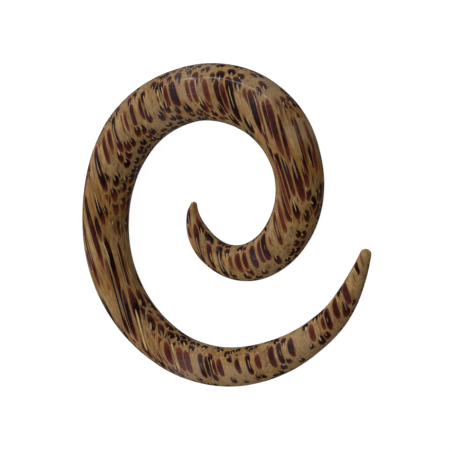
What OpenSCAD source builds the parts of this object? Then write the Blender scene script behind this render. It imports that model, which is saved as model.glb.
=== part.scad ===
// Spiral ear taper carved from one piece of palm wood, round in section and pointed at both ends.
// Millimetres, +Z up. It lies on its side as it rests, and the origin is on the surface under its middle.

/* [Size] */
// Thickness of the wood at its thickest section, which is the taper's gauge
gauge = 10; // [6:0.5:12]
// Width of the spiral from the left of its outer turn to the outer tip
spiral_width = 55; // [50:1:70]

/* [Tips] */
// How far the rounded end of the inner tip stands past its last section
inner_dome = 0.7; // [0.2:0.1:1]
// How far the rounded end of the outer tip stands past its last section
outer_dome = 0.9; // [0.2:0.1:1]

/* [Rest] */
// How far the spiral leans about X as it lies on its thickest wood
lean_x = 2; // [-6:0.1:6]
// How far it leans about Y
lean_y = 0.1; // [-6:0.1:6]

/* [Detail] */
// Sides of each section
section_sides = 36; // [16:2:40]
// Angle between one section and the next along the spiral
section_step = 5; // [4:1:10]

/* [Hidden] */

// The wood's sections from the inner tip to the outer one. Each row has the angle round the middle of
// the coil, the distance from there to the middle of the wood, and the thickness of the wood, for a
// taper that is 10 mm thick and 55 mm wide.
ANGLE = 0;
DISTANCE = 1;
THICKNESS = 2;
sections = [
    [183.5, 8.9, 1.3],
    [189,  9.2, 2.0],
    [197,  9.4, 2.6],
    [210,  9.6, 3.7],
    [225,  9.8, 4.5],
    [245, 10.0, 5.2],
    [270, 10.2, 6.2],
    [300, 10.2, 7.1],
    [330, 10.4, 7.7],
    [360, 11.3, 8.1],
    [390, 12.8, 8.5],
    [420, 15.0, 9.5],
    [450, 17.7, 10.0],
    [480, 20.8, 9.6],
    [510, 24.1, 9.4],
    [540, 26.3, 8.3],
    [570, 28.1, 7.8],
    [600, 28.6, 7.1],
    [620, 28.1, 6.8],
    [640, 27.0, 6.4],
    [660, 26.2, 5.3],
    [675, 25.9, 4.5],
    [688, 25.3, 3.4],
    [700, 25.1, 2.0],
];
charted_gauge = 10;
charted_width = 55;
last_row = len(sections) - 1;

// Slope of a column at a row, from the rows on either side
function slope(row, column) =
    let (below = sections[max(row - 1, 0)], above = sections[min(row + 1, last_row)])
    (above[column] - below[column]) / (above[ANGLE] - below[ANGLE]);

// The number of the row at or below an angle. It stops one short of the last, so a row always follows it.
function row_at(angle, row = 0) =
    row < last_row - 1 && sections[row + 1][ANGLE] <= angle ? row_at(angle, row + 1) : row;

// A column's value at any angle, on a smooth curve through the rows
function value_at(angle, column) =
    let (
        row = row_at(angle),
        span = sections[row + 1][ANGLE] - sections[row][ANGLE],
        t = (angle - sections[row][ANGLE]) / span,
        rise = t * t * (3 - 2 * t)
    )
    (1 - rise) * sections[row][column]
    + rise * sections[row + 1][column]
    + t * (1 - t) * (1 - t) * span * slope(row, column)
    - t * t * (1 - t) * span * slope(row + 1, column);

// The middle of the wood, its heading along the spiral, and the wood's radius, at an angle
heading_step = 0.5;
function middle_at(angle) =
    value_at(angle, DISTANCE) * spiral_width / charted_width * [cos(angle), sin(angle), 0];
function heading_at(angle) =
    let (ahead = middle_at(angle + heading_step) - middle_at(angle - heading_step))
    ahead / norm(ahead);
function radius_at(angle) = value_at(angle, THICKNESS) / 2 * gauge / charted_gauge;

// A ring of points round the wood, square to its heading
function ring(middle, heading, radius) = [
    for (side = [0 : section_sides - 1])
        let (turn = 360 * side / section_sides)
        middle + radius * (cos(turn) * [heading.y, -heading.x, 0] + sin(turn) * [0, 0, 1])
];

// Rings of a rounded end past the last section, each a step further round the dome. The last one stops
// short of the dome's top, and is closed by a small flat face.
dome_steps = 4;
dome_step_turn = 20;
function dome(angle, dome_length, step) =
    let (heading = sign(dome_length) * heading_at(angle), rise = dome_step_turn * step)
    ring(
        middle_at(angle) + abs(dome_length) * sin(rise) * heading,
        heading_at(angle),
        radius_at(angle) * cos(rise)
    );

first_angle = sections[0][ANGLE];
last_angle = sections[last_row][ANGLE];
steps = ceil((last_angle - first_angle) / section_step);
rings = concat(
    [for (step = [dome_steps : -1 : 1]) dome(first_angle, -inner_dome, step)],
    [for (step = [0 : steps])
        let (angle = first_angle + (last_angle - first_angle) * step / steps)
        ring(middle_at(angle), heading_at(angle), radius_at(angle))],
    [for (step = [1 : dome_steps]) dome(last_angle, outer_dome, step)]
);

// The ring points leaned over as the piece rests, then set down on the surface about the origin
function leaned(p) =
    let (tipped = [p.x, p.y * cos(lean_x) - p.z * sin(lean_x), p.y * sin(lean_x) + p.z * cos(lean_x)])
    [tipped.x * cos(lean_y) + tipped.z * sin(lean_y), tipped.y, tipped.z * cos(lean_y) - tipped.x * sin(lean_y)];
loose = [for (points = rings, p = points) leaned(p)];
low = [for (axis = [0 : 2]) min([for (p = loose) p[axis]])];
high = [for (axis = [0 : 2]) max([for (p = loose) p[axis]])];
set_down = [-(low.x + high.x) / 2, -(low.y + high.y) / 2, -low.z];
surface_points = [for (p = loose) p + set_down];

// Four-sided faces between the rings, and one flat face on each end
last_ring = len(rings) - 1;
surface_faces = concat(
    [[for (side = [section_sides - 1 : -1 : 0]) side]],
    [for (i = [0 : last_ring - 1], side = [0 : section_sides - 1])
        let (here = i * section_sides, next = (side + 1) % section_sides)
        [here + side, here + next, here + section_sides + next, here + section_sides + side]],
    [[for (side = [0 : section_sides - 1]) last_ring * section_sides + side]]
);

module spiral_taper() {
    color([0.58, 0.45, 0.28])
        polyhedron(points = surface_points, faces = surface_faces, convexity = 6);
}

spiral_taper();
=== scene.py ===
import bpy
import bmesh
from math import cos, radians, sin
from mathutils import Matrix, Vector, noise
from mathutils.bvhtree import BVHTree


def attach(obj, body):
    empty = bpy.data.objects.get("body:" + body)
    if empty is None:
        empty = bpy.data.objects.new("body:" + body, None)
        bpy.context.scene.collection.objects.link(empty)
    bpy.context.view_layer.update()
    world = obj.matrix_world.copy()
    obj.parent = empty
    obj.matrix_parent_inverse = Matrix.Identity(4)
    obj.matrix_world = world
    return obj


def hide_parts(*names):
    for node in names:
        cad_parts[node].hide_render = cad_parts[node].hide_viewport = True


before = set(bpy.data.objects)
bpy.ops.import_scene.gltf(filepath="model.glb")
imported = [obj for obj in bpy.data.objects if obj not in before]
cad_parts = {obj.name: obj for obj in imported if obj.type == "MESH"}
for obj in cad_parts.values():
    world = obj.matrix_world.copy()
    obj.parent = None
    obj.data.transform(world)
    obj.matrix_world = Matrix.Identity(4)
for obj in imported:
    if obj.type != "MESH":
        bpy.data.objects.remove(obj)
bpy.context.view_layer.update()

print("frame loaded:", ", ".join(sorted(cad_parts)))

mm = 0.001  # everything in the dictionaries is in millimetres and degrees


class Wire:  # an output of a node; arithmetic on it adds Math nodes
    def __init__(self, tree, socket=None):
        self.tree, self.socket = tree, socket

    # makes a node: its settings come first, then a value or a wire for each socket named or numbered
    def node(self, kind, settings={}, sockets={}):
        made = self.tree.nodes.new("ShaderNode" + kind)
        for name, value in settings.items():
            if name == "stops":
                self.setStops(made.color_ramp.elements, value)
            else:
                setattr(made, name, value)
        for key, value in sockets.items():
            socket = self.pick(made.inputs, key)
            if isinstance(value, Wire):
                self.tree.links.new(value.socket, socket)
            else:
                socket.default_value = value
        shown = [output for output in made.outputs if output.enabled]
        return Wire(self.tree, shown[0] if shown else None)

    def setStops(self, elements, stops):
        while len(elements) < len(stops):
            elements.new(1)
        for element, (position, colour) in zip(elements, stops):
            element.position, element.color = position, (*colour, 1)

    def pick(self, sockets, key):
        if isinstance(key, int):
            return sockets[key]
        return next(socket for socket in sockets if socket.enabled and socket.name == key)

    def out(self, name):
        return Wire(self.tree, self.pick(self.socket.node.outputs, name))

    def maths(self, operation, *values):
        return self.node("Math", {"operation": operation}, dict(enumerate(values)))

    def __add__(self, other):
        return self.maths("ADD", self, other)

    def __radd__(self, other):
        return self.maths("ADD", other, self)

    def __sub__(self, other):
        return self.maths("SUBTRACT", self, other)

    def __rsub__(self, other):
        return self.maths("SUBTRACT", other, self)

    def __mul__(self, other):
        return self.maths("MULTIPLY", self, other)

    def __rmul__(self, other):
        return self.maths("MULTIPLY", other, self)

    def __truediv__(self, other):
        return self.maths("DIVIDE", self, other)

    def __pow__(self, other):
        return self.maths("POWER", self, other)

    def atLeast(self, low):
        return self.maths("MAXIMUM", self, low)

    def atMost(self, high):
        return self.maths("MINIMUM", self, high)

    # 0 at the first value and 1 at the second, smooth between
    def ease(self, start, end):
        return self.node("MapRange", {"interpolation_type": "SMOOTHSTEP"},
                         {"Value": self, "From Min": start, "From Max": end})

    def vectorMaths(self, operation, other):
        return self.node("VectorMath", {"operation": operation}, {0: self, 1: other})

    def dot(self, direction):
        return self.vectorMaths("DOT_PRODUCT", direction).out("Value")

    def length(self):
        return self.node("VectorMath", {"operation": "LENGTH"}, {0: self}).out("Value")

    def xyz(self):
        parts = self.node("SeparateXYZ", {}, {"Vector": self})
        return parts, parts.out("Y"), parts.out("Z")

    def turned(self, angle):  # this vector turned about Z
        return self.node("VectorRotate", {"rotation_type": "Z_AXIS"}, {"Vector": self, "Angle": angle})

    def orElse(self, other, share):  # this vector or another one
        return self.node("Mix", {"data_type": "VECTOR"}, {"Factor": share, "A": self, "B": other})

    def towards(self, colour, share):  # this colour mixed with another
        colour = colour if isinstance(colour, Wire) else (*colour, 1)
        return self.node("Mix", {"data_type": "RGBA"}, {"Factor": share, "A": self, "B": colour})

    def times(self, shade):  # this colour made darker or lighter by a number
        return self.node("VectorMath", {"operation": "SCALE"}, {0: self, "Scale": shade})


view = {
    "aim": (0.78, -0.2, 5.0),  # what the middle of the picture looks at
    "slant": 30,               # between the line of sight and the vertical, so it looks down at 60 degrees
    "distance": 500,
    "pixelsPerMm": 5.97,       # at the spiral's middle
    "framePixels": 452,
    "sensor": 36,
    "clip": (10, 20000),
}


def cameraPlace():
    slant = radians(view["slant"])
    return Vector(view["aim"]) + Vector((sin(slant), 0, cos(slant))) * view["distance"]


def makeCamera():
    lens = bpy.data.cameras.new("camera")
    lens.sensor_width = view["sensor"]
    lens.lens = view["sensor"] * view["pixelsPerMm"] * view["distance"] / view["framePixels"]
    lens.clip_start, lens.clip_end = [length * mm for length in view["clip"]]
    camera = bpy.data.objects.new("camera", lens)
    camera.location = cameraPlace() * mm
    camera.rotation_euler = (0, radians(view["slant"]), 0)  # the picture's top is towards +Y
    bpy.context.scene.collection.objects.link(camera)
    bpy.context.scene.camera = camera


makeCamera()
print("camera placed")

palmWood = {
    # how the fibres run: straight, in the spiral's plane
    "grainTurn": 17.5,          # from -Y towards +X
    "drift": 0.9,               # how far they wander sideways
    "cutFrom": (47.9, -122.1),  # where in the trunk the piece was cut, across and up
    # how fast things change along the grain, beside how fast across it
    "patchRun": 0.7,
    "fineRun": 0.3,
    "outlineRun": 0.1,
    "strandRun": 0.04,
    # the dark fibres across the grain
    "spacing": 1.387,
    "latticeTurn": 251.8,       # how the rows that they stand in, more or less, are turned
    "scatter": 0.55,
    "radius": (0.47, 0.73),
    "present": (0.57, 0.90),    # share of places that hold a fibre, in open and in crowded wood
    "taper": 0.15,              # the change in that share over which a fibre thins out
    "least": 0.01,              # how thin it gets, as a share of its radius
    "warp": 0.42,               # how far the outlines are pushed about
    "ragged": 0.40,
    "edge": (1.10, 0.84),       # where a fibre's edge begins and ends, in radii
    "gap": (0.048, 0.16),       # the same for the seam between two that touch
    # the charted fibres
    "boldTaper": 0.042,         # how much they thin out for each millimetre along them
    "boldRoom": (0.9, 1.5),     # other fibres are thinner this near to the middle of one, in its radii
    "boldClear": (1.3, 1.1),    # and give way this near to its edge
    "boldPush": 2,              # how many radii away they then seem
    # the thin fibres between the others
    "thinSpacing": 0.70,
    "thinRadius": (0.04, 0.24),
    "thinPresent": 0.65,
    "thinGolden": 0.4,          # how many more there are where the wood is golden
    "thinEdge": (1.2, 0.7),
    "thinTone": (0.3, 1.0),
    "thinSide": (0.5, 0.95),    # they show where the surface runs along the grain
    # the pale pith that notches the upper side of each fibre, as shares of its radius
    "pithRise": 0.72,
    "pithWidth": (0.12, 0.28),
    "pithHeight": 0.46,
    "pithTurn": 50,
    "pithEdge": (1.4, 0.4),
    "pithEnd": (1.2, 1.05),
    "pithTone": (0.25, 0.90),
    # how much fibre or wood the light passes through
    "endGrain": 0.05,           # the least slant at which it does, so that the depth isn't endless
    "stainDepth": 0.39,         # how much fibre it takes to look black
    "stainTone": (0.5, 1.9),    # how much sooner some do than others
    "stainLevel": 0.5,          # how much of the depth is the same all over a fibre
    "coverDepth": 0.20,         # how much wood it takes to hide a fibre
    "sunkEdge": (1.6, 1.2),
    "sunkShow": 0.7,
    "strandTone": 0.5,
    "mottleTone": 0.8,
    # the ground between the fibres
    "groundMix": (0.4, 0.35, 0.25),  # how much of its tone is streaks, strands and mottling
    "bandSide": (0.4, 0.9),     # bands show where the surface runs along the grain
    "bandShow": (0.5, 0.1),     # how much they show, and the least of it in the dusty zones, where sheen is painted
    "patchShow": 0.5,
    "dustAndSheenShow": (0.25, 0.9),    # on the fibres, a purple-grey that is partly dust and partly painted sheen: in patches, and in the dusty zones, where it is painted sheen
    "hairWidth": 0.012,
    "hairShow": 0.5,
    "hairStretch": (0.12, 1.6, 0.8),
    "hairBend": 0.3,
    "fleck": (0.57, 1.47),
    # colours: the two ramps from light to dark fibre and from dark to pale ground, then the others
    "fibreStops": [(0.0, (0.19, 0.050, 0.012)), (0.5, (0.092, 0.0115, 0.006)),
                   (0.95, (0.010, 0.0008, 0.0015))],
    "groundStops": [(0.38, (0.125, 0.056, 0.018)), (0.48, (0.268, 0.153, 0.054)),
                    (0.58, (0.364, 0.226, 0.089))],
    "thinFibre": (0.10, 0.026, 0.010),
    "sunkFibre": (0.155, 0.062, 0.016),
    # purple-grey on the fibres: partly dust, partly the painted sheen of the polish
    "dustAndSheenFibre": (0.080, 0.050, 0.066),
    "pith": (0.54, 0.37, 0.16),
    "bandGround": (0.145, 0.064, 0.015),
    "goldenGround": (0.24, 0.108, 0.016),
    # a grey for the ground: in random patches its own colour, in the zones below golden a painted sheen
    "greyAndSheenGround": (0.29, 0.187, 0.100),
    "hair": (0.36, 0.30, 0.27),
    # the polish
    "wax": (0.45, 1.0),         # at the bottom of the spiral and at the top
    "waxFrom": (-16, 10),       # where that bottom and top are
    "waxRoughness": 0.10,
    "waxIor": 1.5,
    "ior": 1.5,
    "specular": 0.1,
    "roughness": 0.5,
    "fibreGloss": 0.08,
    "streakRoughness": 0.2,
    "relief": (0.5, -0.8, 0.35),  # how far fibres, pith and streaks stand up, as shares of reliefDepth
    "reliefDepth": 0.03,
    "reliefStrength": 0.25,
}

woodNoises = {
    # how many to a millimetre, detail, roughness
    "drift": (1 / 16, 1, 0.4),
    "warp": (1 / 1.3, 1, 0.5),
    "ragged": (1 / 0.3, 2, 0.5),
    "strand": (4.0, 2, 0.6),
    "mottle": (0.5, 3, 0.6),
    "streak": (2.4, 4, 0.75),
    "fleck": (4.5, 2, 0.8),
    "hair": (1.0, 1, 0.5),
    "crowded": (1 / 7, 0, 0.5),
    "dusty": (0.35, 3, 0.5),
    "band": (1.0, 2, 0.6),
    "golden": (0.3, 5, 0.7),
    "grey": (1.4, 3, 0.7),
    "waxed": (0.45, 2, 0.5),
}

patchEdges = {
    # the values of the noise where a patch begins, and where it is full
    "crowded": (0.38, 0.62),
    "dusty": (0.48, 0.66),
    "band": (0.46, 0.62),
    "golden": (0.48, 0.64),
    "grey": (0.48, 0.64),
    "waxed": (0.30, 0.55),
}

zoneCore = 0.3  # the share of a zone's reach over which it is full
woodZones = {
    # x, y, how far it reaches, how much more of it is fibre (less than 0 is less), and how golden it is (less
    # than 0 is grey and dusty, partly a painted sheen of the polish)
    "outerShoulder": (-20, 16, 6, 0.35, 0.0),
    "insideShoulder": (-9, 17, 5, 0.20, -0.4),
    "insideLeft": (-15.5, 10.5, 5, 0.25, 0.0),
    "leftEdge": (-24, 4, 7, 0.1, 0.5),
    "leftMiddle": (-17.5, 3.5, 5, 0.15, 0.4),
    "leftStreaks": (-18.5, -8, 5, 0.4, 0.2),
    "goldenLeft": (-22, -9, 4, 0.0, 0.4),
    "lowerLeft": (-13.5, -13, 4, 0.3, 0.0),
    "insideBottom": (-9, -19.5, 4.5, 0.7, 0.25),
    "insideRightBottom": (4, -20.5, 4.5, 0.6, 0.25),
    "dustAndSheenBottom": (-7, -25.5, 5, -0.2, -0.7),
    "dustAndSheenStrips": (-5.5, -22.5, 4, 0.0, -0.35),
    "outerBottom": (3, -26.5, 5, -0.6, -0.4),
    "bottomRight": (15, -21, 6, -0.35, -0.3),
    "outerTip": (26.5, -10, 7, 0.1, 0.0),
    "dustAndSheenTop": (-4, 25, 6, -0.1, -0.5),
    "dustAndSheenCrest": (10, 23, 6, -0.2, -0.5),
    "crestGap": (15.5, 15.5, 2.5, -0.3, -0.5),
    "insideTopRight": (11, 14, 6, -0.2, 0.1),
    "outerStreaks": (18.5, 11, 4, 0.1, 0.3),
    "rightEdge": (23, 4, 7, 0.1, 0.3),
    "streaksBesideTop": (16, 19, 4, 0.0, 0.3),
    "goldenSide": (20, 10, 5, 0.0, 0.5),
    "sideStreaks": (13.5, 9.5, 5, 0.05, 0.3),
    "turn": (18, 1, 5, 0.1, 0.3),
    "curlGap": (11, -3, 3, -0.15, 0.0),
    "dustAndSheenCurl": (9, -6.5, 3, -0.2, -0.4),
    "innerTip": (-3.5, 0, 4, 0.5, 0.0),
}

# the boldest fibres, charted one by one
boldFibres = {
    # where in the picture it shows (pixels from the left, pixels from the top), its radius, and how deep its
    # middle lies there, as a share of that radius
    "topFirst": (166, 95, 0.42, 0.0),
    "topSecond": (188, 91, 0.38, 0.0),
    "topThird": (194, 92, 0.45, 0.2),
    "topFourth": (206, 91, 0.45, 0.0),
    "topFifth": (224, 96, 0.48, 0.0),
    "topStriped": (231, 96, 0.66, 0.6),
    "topSixth": (252, 102, 0.55, 0.0),
    "underTopFirst": (149, 118, 0.50, 0.0),
    "underTopSecond": (162, 117, 0.60, 0.0),
    "underTopThird": (168, 110, 0.50, 0.0),
    "underTopFourth": (178, 111, 0.52, 0.0),
    "underTopFifth": (222, 111, 0.52, 0.0),
    "innerRowFirst": (193, 115, 0.48, 0.0),
    "innerRowSecond": (200, 114, 0.47, 0.0),
    "innerRowThird": (207, 115, 0.47, 0.0),
    "innerRowFourth": (215, 114, 0.50, 0.0),
    "shoulderFirst": (125, 117, 0.33, 0.0),
    "shoulderSecond": (132, 112, 0.40, 0.0),
    "shoulderThird": (140, 107, 0.41, 0.0),
    "shoulderFourth": (105, 149, 0.34, 0.0),
    "shoulderDisc": (138, 132, 0.58, 0.0),
    "shoulderStriped": (118, 141, 0.51, 0.6),
    "leftDiscFirst": (128, 147, 0.58, 0.0),
    "leftDiscSecond": (116, 181, 0.54, 0.0),
    "leftDiscThird": (124, 188, 0.56, 0.0),
    "leftDiscFourth": (114, 195, 0.58, 0.0),
    "leftEdgeFirst": (99, 170, 0.60, 0.3),
    "leftMiddle": (101, 214, 0.50, 0.0),
    "leftLong": (93, 232, 0.50, 0.0),
    "leftRim": (85, 234, 0.45, 0.0),
    "leftDeep": (111, 262, 0.60, 0.2),
    "leftTwin": (115, 285, 0.54, 0.5),
    "leftThin": (122, 264, 0.42, 0.2),
    "lowFirst": (136, 311, 0.65, 0.3),
    "lowSecond": (141, 300, 0.57, 0.2),
    "lowThird": (132, 326, 0.46, 0.0),
    "lowDiscFirst": (151, 321, 0.59, 0.0),
    "lowDiscSecond": (161, 329, 0.62, 0.0),
    "lowDiscThird": (171, 335, 0.55, 0.0),
    "lowDiscFourth": (183, 337, 0.55, 0.0),
    "bottomFirst": (168, 352, 0.60, -0.35),
    "bottomSecond": (180, 356, 0.63, -0.2),
    "bottomThird": (187, 360, 0.63, -0.2),
    "bottomDiscFirst": (218, 348, 0.60, 0.0),
    "bottomDiscSecond": (227, 353, 0.58, 0.0),
    "bottomDiscThird": (193, 343, 0.50, 0.0),
    "bottomDiscFourth": (205, 347, 0.53, 0.0),
    "bottomDiscFifth": (238, 350, 0.46, 0.0),
    "bottomDiscSixth": (251, 349, 0.48, 0.0),
    "bottomShortFirst": (200, 356, 0.46, -0.3),
    "bottomShortSecond": (210, 356, 0.47, -0.3),
    "bottomRed": (214, 367, 0.51, -0.5),
    "bottomFourth": (219, 363, 0.56, -0.5),
    "bottomFifth": (237, 363, 0.57, -0.5),
    "bottomSixth": (248, 362, 0.50, 0.35),
    "bottomSeventh": (257, 360, 0.60, -0.45),
    "bottomEighth": (271, 355, 0.54, 0.2),
    "bottomNinth": (279, 351, 0.50, 0.35),
    "bottomTenth": (290, 345, 0.59, -0.3),
    "tipFirst": (312, 334, 0.58, -0.35),
    "tipSecond": (322, 322, 0.50, -0.4),
    "tipThird": (335, 306, 0.54, 0.0),
    "rightLong": (271, 116, 0.58, 0.1),
    "rightDeep": (299, 184, 0.68, 0.2),
    "rightBrown": (304, 160, 0.44, 0.0),
    "rightRim": (313, 150, 0.49, 0.0),
    "rightInner": (283, 187, 0.39, 0.0),
    "rightThin": (265, 135, 0.39, 0.2),
    "rightPair": (264, 108, 0.30, 0.0),
    "rightSlit": (286, 145, 0.34, 0.0),
    "rightNotch": (298, 131, 0.38, 0.0),
    "rightShort": (289, 105, 0.37, 0.0),
    "rightInnerThin": (271, 152, 0.41, 0.0),
    "rightRed": (288, 174, 0.47, 0.0),
    "rightBrownEnd": (306, 178, 0.42, 0.0),
    "turnFirst": (297, 213, 0.50, 0.0),
    "turnSecond": (281, 216, 0.49, 0.0),
    "turnThird": (277, 232, 0.45, 0.5),
    "turnDiscFirst": (314, 203, 0.60, 0.0),
    "turnDiscSecond": (307, 217, 0.56, 0.0),
    "turnDiscThird": (297, 244, 0.52, 0.0),
    "curlFirst": (266, 252, 0.54, 0.3),
    "curlSecond": (253, 256, 0.55, 0.2),
    "curlThird": (244, 255, 0.50, -0.4),
    "curlFourth": (237, 257, 0.65, -0.35),
    "curlFifth": (209, 250, 0.43, 0.0),
    "curlSixth": (196, 232, 0.44, 0.0),
}


# the point of the wood that shows at a pixel of the picture, in millimetres
def shownAt(surface, pixelX, pixelY):
    slant, middle = radians(view["slant"]), view["framePixels"] / 2
    right, top = Vector((cos(slant), 0, -sin(slant))), Vector((0, 1, 0))
    away = (right * (pixelX - middle) + top * (middle - pixelY)) / view["pixelsPerMm"]
    eye = cameraPlace()
    return surface.ray_cast(eye * mm, Vector(view["aim"]) + away - eye)[0] / mm


# the charted fibre nearest to a spot: the spot as seen from its middle, its radius, how many radii away it
# is, and how many the next one is
def findBoldFibre(wood, spot, surface, across, along):
    farAway = 100  # in radii, for the next one while only one is known
    offset = size = nearest = further = None
    for pixelX, pixelY, radius, depth in boldFibres.values():
        shown = shownAt(surface, pixelX, pixelY)
        middle = (shown.dot(Vector(across)), shown.z - depth * radius,
                  shown.dot(Vector(along)) * palmWood["boldTaper"])
        here = spot.vectorMaths("SUBTRACT", middle)
        reach = here.length() * (1 / radius)
        if offset is None:
            offset, size, nearest, further = here, radius, reach, reach + farAway
        else:
            further = further.atMost(nearest.atLeast(reach))
            closer = wood.maths("LESS_THAN", reach, nearest)
            offset = offset.orElse(here, closer)
            size = wood.node("Mix", {"data_type": "FLOAT"}, {"Factor": closer, "A": size, "B": radius})
            nearest = nearest.atMost(reach)
    return offset, size, nearest, further


# one of the other fibres, the nearest to a spot or the second nearest: the spot as seen from its middle, and
# the fibre's own random colour
def findFibre(wood, spot, spacing, feature="F1"):
    turn = radians(palmWood["latticeTurn"])
    cells = wood.node("TexVoronoi", {"voronoi_dimensions": "2D", "feature": feature},
                      {"Vector": spot.turned(turn), "Scale": 1 / spacing, "Randomness": palmWood["scatter"]})
    return spot.vectorMaths("SUBTRACT", cells.out("Position").turned(-turn)), cells.out("Color")


# three random numbers that belong to a fibre
def chances(wood, own, seed=0):
    numbers = wood.node("TexWhiteNoise", {"noise_dimensions": "4D"}, {"Vector": own, "W": seed})
    return numbers.out("Color").xyz()


def between(limits, share):
    return limits[0] + (limits[1] - limits[0]) * share


def noiseAt(wood, where, kind, bend=0):
    scale, detail, roughness = woodNoises[kind]
    return wood.node("TexNoise", {}, {"Vector": where, "Scale": scale, "Detail": detail,
                                      "Roughness": roughness, "Distortion": bend})


def patchesAt(wood, where, kind):
    return noiseAt(wood, where, kind).ease(*patchEdges[kind])


# the share of places that hold a fibre at a point of the wood, and how golden it is there (less than 0 where
# grey and dusty, partly painted sheen)
def zonesAt(wood, point, share):
    golden = 0
    for x, y, size, crowding, gilding in woodZones.values():
        away = point.vectorMaths("SUBTRACT", (x, y, 0)).vectorMaths("MULTIPLY", (1, 1, 0)).length()
        inZone = away.ease(size, size * zoneCore)
        if crowding:
            share = share + inZone * crowding
        if gilding:
            golden = golden + inZone * gilding
    return share, golden


# the fibre that a spot is in or nearest to, charted or not: the spot as seen from its middle, its own random
# colour, its radius, how many radii away it is, and how many the next one is
def nearestFibre(wood, spot, share, boldFibre):
    boldOffset, boldRadius, boldReach, boldNext = boldFibre
    found = []
    for feature in ("F1", "F2"):
        offset, own = findFibre(wood, spot, palmWood["spacing"], feature)
        size, present = chances(wood, own)[:2]
        fromBold = boldOffset.vectorMaths("SUBTRACT", offset).length() / boldRadius
        room = (share - present).ease(0, palmWood["taper"]) * fromBold.ease(*palmWood["boldRoom"])
        radius = between(palmWood["radius"], size) * room.atLeast(palmWood["least"])
        found.append((offset, own, offset.length() / radius, radius))

    # the closer one for its size counts
    (offset, own, reach, radius), (otherOffset, otherOwn, otherReach, otherRadius) = found
    other = wood.maths("LESS_THAN", otherReach, reach)
    offset, own = offset.orElse(otherOffset, other), own.orElse(otherOwn, other)
    radius = radius + (otherRadius - radius) * other
    further, reach = reach.atLeast(otherReach), reach.atMost(otherReach)

    # the charted ones come first
    crowdedOut = boldReach.ease(*palmWood["boldClear"]) * palmWood["boldPush"]
    reach, further = reach + crowdedOut, further + crowdedOut
    bold = wood.maths("LESS_THAN", boldReach, reach)
    boldOwn = wood.node("CombineXYZ", {}, {"X": boldRadius, "Y": boldRadius, "Z": boldRadius})
    offset, own = offset.orElse(boldOffset, bold), own.orElse(boldOwn, bold)
    radius = radius + (boldRadius - radius) * bold
    further = further.atMost(boldNext).atMost(boldReach.atLeast(reach))
    return offset, own, radius, reach.atMost(boldReach), further


# how much of a spot is pith, and how pale that pith is
def pithAt(wood, offset, own, radius, reach, fray):
    size, swing, tone = chances(wood, own, seed=1)
    side, rise = offset.turned((swing - 0.5) * radians(palmWood["pithTurn"])).xyz()[:2]
    pithX = side / (radius * between(palmWood["pithWidth"], size))
    pithY = (rise / radius - palmWood["pithRise"]) / palmWood["pithHeight"]
    pith = (pithX * pithX + pithY * pithY + fray).ease(*palmWood["pithEdge"])
    return pith * reach.ease(*palmWood["pithEnd"]), between(palmWood["pithTone"], tone)


# how dark the fibre under the surface looks, and how much of that shows through the wood that covers it.
# faceU and faceV are how far the surface faces each way across the grain, and side is how far altogether.
def stainAt(wood, offset, radius, tone, faceU, faceV, side):
    offU, offV = offset.xyz()[:2]
    height = (offU * faceU + offV * faceV) / side
    inside = (radius * radius - (offU * offU + offV * offV) + height * height).atLeast(0)
    half = wood.maths("SQRT", inside)
    level = half * palmWood["stainLevel"] + radius * (1 - palmWood["stainLevel"])
    depth = ((height.atMost(half) + level) / side).atLeast(0)
    cover = (height - half).atLeast(0) / side
    dense = depth * between(palmWood["stainTone"], tone)
    stain = 1 - wood.maths("EXPONENT", dense * (-1 / palmWood["stainDepth"]))
    return stain, stain * wood.maths("EXPONENT", cover * (-1 / palmWood["coverDepth"]))


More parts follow.
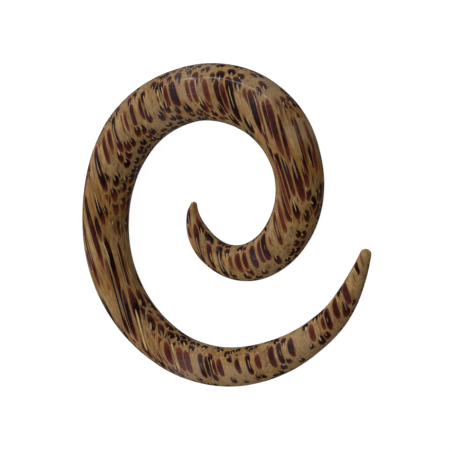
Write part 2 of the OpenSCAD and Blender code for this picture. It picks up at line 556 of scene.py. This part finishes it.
def palmWoodMaterial(surface):
    material = bpy.data.materials.new("polishedPalmWood")
    material.use_nodes = True
    material.node_tree.nodes.clear()
    wood = Wire(material.node_tree)
    turn = radians(palmWood["grainTurn"])
    across, along, upward = (cos(turn), sin(turn), 0), (sin(turn), -cos(turn), 0), (0, 0, 1)

    # where the point lies across the grain (u, v) and along it (w), in millimetres
    place = wood.node("TexCoord")
    point = place.out("Object").times(1 / mm)
    straightU, straightV, w = point.dot(across), point.dot(upward), point.dot(along)
    slow = wood.node("CombineXYZ", {}, {"X": straightU, "Y": straightV, "Z": w * palmWood["patchRun"]})
    driftU, driftV = noiseAt(wood, slow, "drift").out("Color").xyz()[:2]
    u = straightU + (driftU - 0.5) * (2 * palmWood["drift"])
    v = straightV + (driftV - 0.5) * (2 * palmWood["drift"])
    lengthways = wood.node("CombineXYZ", {}, {"X": u, "Y": v, "Z": w * palmWood["outlineRun"]})
    pushU, pushV = noiseAt(wood, lengthways, "warp").out("Color").xyz()[:2]
    pushU, pushV = (pushU - 0.5) * palmWood["warp"], (pushV - 0.5) * palmWood["warp"]
    fray = (noiseAt(wood, lengthways, "ragged") - 0.5) * palmWood["ragged"]
    share = between(palmWood["present"], patchesAt(wood, slow, "crowded"))
    share, golden = zonesAt(wood, point, share)

    # the dark fibres
    cutU, cutV = palmWood["cutFrom"]
    spot = wood.node("CombineXYZ", {}, {"X": u + pushU + cutU, "Y": v + pushV + cutV})
    straightSpot = wood.node("CombineXYZ", {}, {"X": straightU + pushU, "Y": straightV + pushV,
                                                "Z": w * palmWood["boldTaper"]})
    boldFibre = findBoldFibre(wood, straightSpot, surface, across, along)
    offset, own, radius, reach, further = nearestFibre(wood, spot, share, boldFibre)
    apart = (further - reach).ease(*palmWood["gap"])
    reach = reach + fray
    disc = reach.ease(*palmWood["edge"]) * apart
    pith, pithTone = pithAt(wood, offset, own, radius, reach, fray)

    # side is 1 where the surface runs along the grain, and nearly 0 where it is square to it
    facing = place.out("Normal")
    faceU, faceV = facing.dot(across), facing.dot(upward)
    side = wood.maths("SQRT", faceU * faceU + faceV * faceV).atLeast(palmWood["endGrain"])
    tone = chances(wood, own)[2]
    stain, sunk = stainAt(wood, offset, radius, tone, faceU, faceV, side)
    sunk = sunk * reach.ease(*palmWood["sunkEdge"]) * apart

    strands = wood.node("CombineXYZ", {}, {"X": u, "Y": v, "Z": w * palmWood["strandRun"]})
    strand, mottle = noiseAt(wood, strands, "strand"), noiseAt(wood, slow, "mottle")
    fibreTone = stain + (strand - 0.5) * palmWood["strandTone"] + (mottle - 0.5) * palmWood["mottleTone"]
    fibre = wood.node("ValToRGB", {"stops": palmWood["fibreStops"]}, {"Fac": fibreTone})
    # purple-grey on the fibres: dust in random patches, and painted sheen in the grey zones on the crests and
    # the bottom
    patchDustAndSheen, zoneDustAndSheen = palmWood["dustAndSheenShow"]
    dustAndSheen = (patchesAt(wood, slow, "dusty") * patchDustAndSheen - golden * zoneDustAndSheen) * stain
    fibre = fibre.towards(palmWood["dustAndSheenFibre"], dustAndSheen)

    # the thin fibres
    thinOffset, thinOwn = findFibre(wood, spot, palmWood["thinSpacing"])
    thinSize, thinPresent, thinTone = chances(wood, thinOwn)
    thinReach = thinOffset.length() / between(palmWood["thinRadius"], thinSize * thinSize) + fray
    thinShare = golden * palmWood["thinGolden"] + palmWood["thinPresent"]
    thin = thinReach.ease(*palmWood["thinEdge"]) * wood.maths("LESS_THAN", thinPresent, thinShare)
    thin = thin * between(palmWood["thinTone"], thinTone) * side.ease(*palmWood["thinSide"])

    # the ground between the fibres
    fine = wood.node("CombineXYZ", {}, {"X": u, "Y": v, "Z": w * palmWood["fineRun"]})
    streak = noiseAt(wood, fine, "streak")
    streaks, strandsToo, mottles = palmWood["groundMix"]
    ground = wood.node("ValToRGB", {"stops": palmWood["groundStops"]},
                       {"Fac": streak * streaks + strand * strandsToo + mottle * mottles})
    bandShow, leastBand = palmWood["bandShow"]
    band = patchesAt(wood, lengthways, "band") * side.ease(*palmWood["bandSide"])
    ground = ground.towards(palmWood["bandGround"], band * (golden + bandShow).atLeast(leastBand))
    patchShow = palmWood["patchShow"]
    ground = ground.towards(palmWood["goldenGround"], patchesAt(wood, slow, "golden") * patchShow + golden)
    # grey in random patches, and more where the zones are below golden, where it is a painted sheen of the
    # polish
    ground = ground.towards(palmWood["greyAndSheenGround"], patchesAt(wood, fine, "grey") * patchShow - golden)
    ground = ground.towards(palmWood["thinFibre"], thin)
    ground = ground.towards(palmWood["sunkFibre"], sunk * palmWood["sunkShow"])
    colour = ground.towards(fibre, disc)
    colour = colour.towards(palmWood["pith"], pith * pithTone)

    # hairline scratches round the piece, in the dusty grey zones, where sheen is also painted
    level = point.vectorMaths("MULTIPLY", palmWood["hairStretch"])
    hair = noiseAt(wood, level, "hair", palmWood["hairBend"])
    hair = wood.maths("ABSOLUTE", hair - 0.5).ease(palmWood["hairWidth"], 0)
    colour = colour.towards(palmWood["hair"], hair * (-palmWood["hairShow"] * golden))
    colour = colour.times(between(palmWood["fleck"], noiseAt(wood, fine, "fleck")))

    # the wax, thinner in patches and towards the bottom of the spiral
    towardsTop = point.xyz()[1].ease(*palmWood["waxFrom"])
    polish = between(palmWood["wax"], towardsTop) * patchesAt(wood, point, "waxed")
    roughness = palmWood["roughness"] - disc * palmWood["fibreGloss"]
    roughness = roughness + (streak - 0.5) * palmWood["streakRoughness"]
    fibresUp, pithUp, streaksUp = palmWood["relief"]
    relief = disc * fibresUp + pith * pithUp + streak * streaksUp
    bump = wood.node("Bump", {}, {"Strength": palmWood["reliefStrength"],
                                  "Distance": palmWood["reliefDepth"] * mm, "Height": relief})
    shader = wood.node("BsdfPrincipled", {}, {
        "Base Color": colour, "Roughness": roughness, "IOR": palmWood["ior"],
        "Specular IOR Level": palmWood["specular"], "Coat Weight": polish,
        "Coat Roughness": palmWood["waxRoughness"], "Coat IOR": palmWood["waxIor"], "Normal": bump})
    wood.node("OutputMaterial", {}, {"Surface": shader})
    return material


spiral = {
    "subdivisions": 1,
    "weld": 0.001,
    "joined": (40, 60),    # pairs of triangles that turn and slant by less than this become four-sided faces
    "handCut": 0.045,      # how far the surface strays from true, as hand-carved wood does
    "handCutLength": 6.0,
    "scraped": 0.022,      # the same for the marks of the scraper
    "scrapedLength": 2.0,
    "uncut": 0.6,          # the noise at which nothing comes off, about as high as it goes
}


def makeSpiral():
    mesh = bmesh.new()
    mesh.from_mesh(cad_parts["spiral_taper"].data)
    bmesh.ops.remove_doubles(mesh, verts=mesh.verts, dist=spiral["weld"] * mm)
    turn, slant = spiral["joined"]
    bmesh.ops.join_triangles(mesh, faces=mesh.faces, angle_face_threshold=radians(turn),
                             angle_shape_threshold=radians(slant))
    data = bpy.data.meshes.new("palm_wood_spiral")
    mesh.to_mesh(data)
    mesh.free()
    piece = bpy.data.objects.new("palm_wood_spiral", data)
    bpy.context.scene.collection.objects.link(piece)
    rounder = piece.modifiers.new("rounder", "SUBSURF")
    rounder.levels = rounder.render_levels = spiral["subdivisions"]
    graph = bpy.context.evaluated_depsgraph_get()
    piece.data = bpy.data.meshes.new_from_object(piece.evaluated_get(graph))
    piece.modifiers.clear()
    for polygon in piece.data.polygons:
        polygon.use_smooth = True

    # carved by hand, and only inwards, so the piece stays inside the turned shape
    carved = []
    for vertex in piece.data.vertices:
        stray = 0
        for depth, length in (("handCut", "handCutLength"), ("scraped", "scrapedLength")):
            stray += (noise.noise(vertex.co / (spiral[length] * mm)) - spiral["uncut"]) * spiral[depth]
        carved.extend(vertex.co + vertex.normal * stray * mm)
    piece.data.vertices.foreach_set("co", carved)
    piece.data.update()
    surface = BVHTree.FromPolygons([vertex.co for vertex in piece.data.vertices],
                                   [polygon.vertices for polygon in piece.data.polygons])
    piece.data.materials.append(palmWoodMaterial(surface))
    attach(piece, "root")
    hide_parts("spiral_taper")
    return piece


piece = makeSpiral()
print("spiral made:", len(piece.data.polygons), "faces")

studio = {
    "floorSize": 6000,
    "floorColour": (0.12, 0.12, 0.12, 1),
    "floorGlow": 0.96,
    "floorRoughness": 0.9,
    "floorSpecular": 0.1,
    "ambient": 0.72,            # light from all round
    "ambientLean": 0.86,        # how much stronger it is on the side of lightFrom, and weaker on the other
    "ambientLeast": 0.24,
    "lightFrom": (-0.76, 0.39, 0.54),
    "mirrored": 0.14,           # how brightly that side shows in the polish
    "mirroredLevel": 0.06,      # the same for what lies level with the wood
}


def makeFloor():
    half = studio["floorSize"] * mm / 2
    data = bpy.data.meshes.new("floor")
    corners = [(-half, -half, 0), (half, -half, 0), (half, half, 0), (-half, half, 0)]
    data.from_pydata(corners, [], [(0, 1, 2, 3)])
    floor = bpy.data.objects.new("floor", data)
    bpy.context.scene.collection.objects.link(floor)
    material = bpy.data.materials.new("paleFloor")
    material.use_nodes = True
    material.node_tree.nodes.clear()
    paper = Wire(material.node_tree)
    shader = paper.node("BsdfPrincipled", {}, {
        "Base Color": studio["floorColour"], "Roughness": studio["floorRoughness"],
        "Specular IOR Level": studio["floorSpecular"], "Emission Color": (1, 1, 1, 1),
        "Emission Strength": studio["floorGlow"]})
    paper.node("OutputMaterial", {}, {"Surface": shader})
    data.materials.append(material)
    floor.visible_glossy = floor.visible_diffuse = False  # so that the wood stays dark underneath


def makeAmbient():
    world = bpy.data.worlds.new("ambient")
    world.use_nodes = True
    world.node_tree.nodes.clear()
    air = Wire(world.node_tree)
    direction = air.node("TexCoord").out("Generated")
    lean = direction.dot(tuple(Vector(studio["lightFrom"]).normalized()))
    strength = (lean * studio["ambientLean"] + studio["ambient"]).atLeast(studio["ambientLeast"])
    level = 1 - direction.xyz()[2].atLeast(0)
    polish = lean.atLeast(0) ** 2 * studio["mirrored"] + level ** 2 * studio["mirroredLevel"]
    rays = air.node("LightPath")
    seen, glossy = rays.out("Is Camera Ray"), rays.out("Is Glossy Ray")
    strength = strength + (polish - strength) * glossy
    strength = strength + (1 - strength) * seen
    shader = air.node("Background", {}, {"Color": (1, 1, 1, 1), "Strength": strength})
    air.node("OutputWorld", {}, {"Surface": shader})
    world.cycles.sampling_method = "NONE"
    bpy.context.scene.world = world


softLights = {
    # name: (where, width, height, power in watts), each aimed at the spiral
    "farStrip": ((-190, 800, 440), 1050, 30, 0.75),
}


def makeLights():
    for name, (where, width, height, power) in softLights.items():
        lamp = bpy.data.lights.new(name, "AREA")
        lamp.shape = "RECTANGLE"
        lamp.size, lamp.size_y = width * mm, height * mm
        lamp.energy = power
        light = bpy.data.objects.new(name, lamp)
        light.location = Vector(where) * mm
        light.rotation_euler = (-light.location).to_track_quat("-Z", "Y").to_euler()
        bpy.context.scene.collection.objects.link(light)


makeFloor()
makeAmbient()
makeLights()
bpy.context.scene.view_settings.view_transform = "Standard"
print("studio set")

bpy.context.view_layer.update()
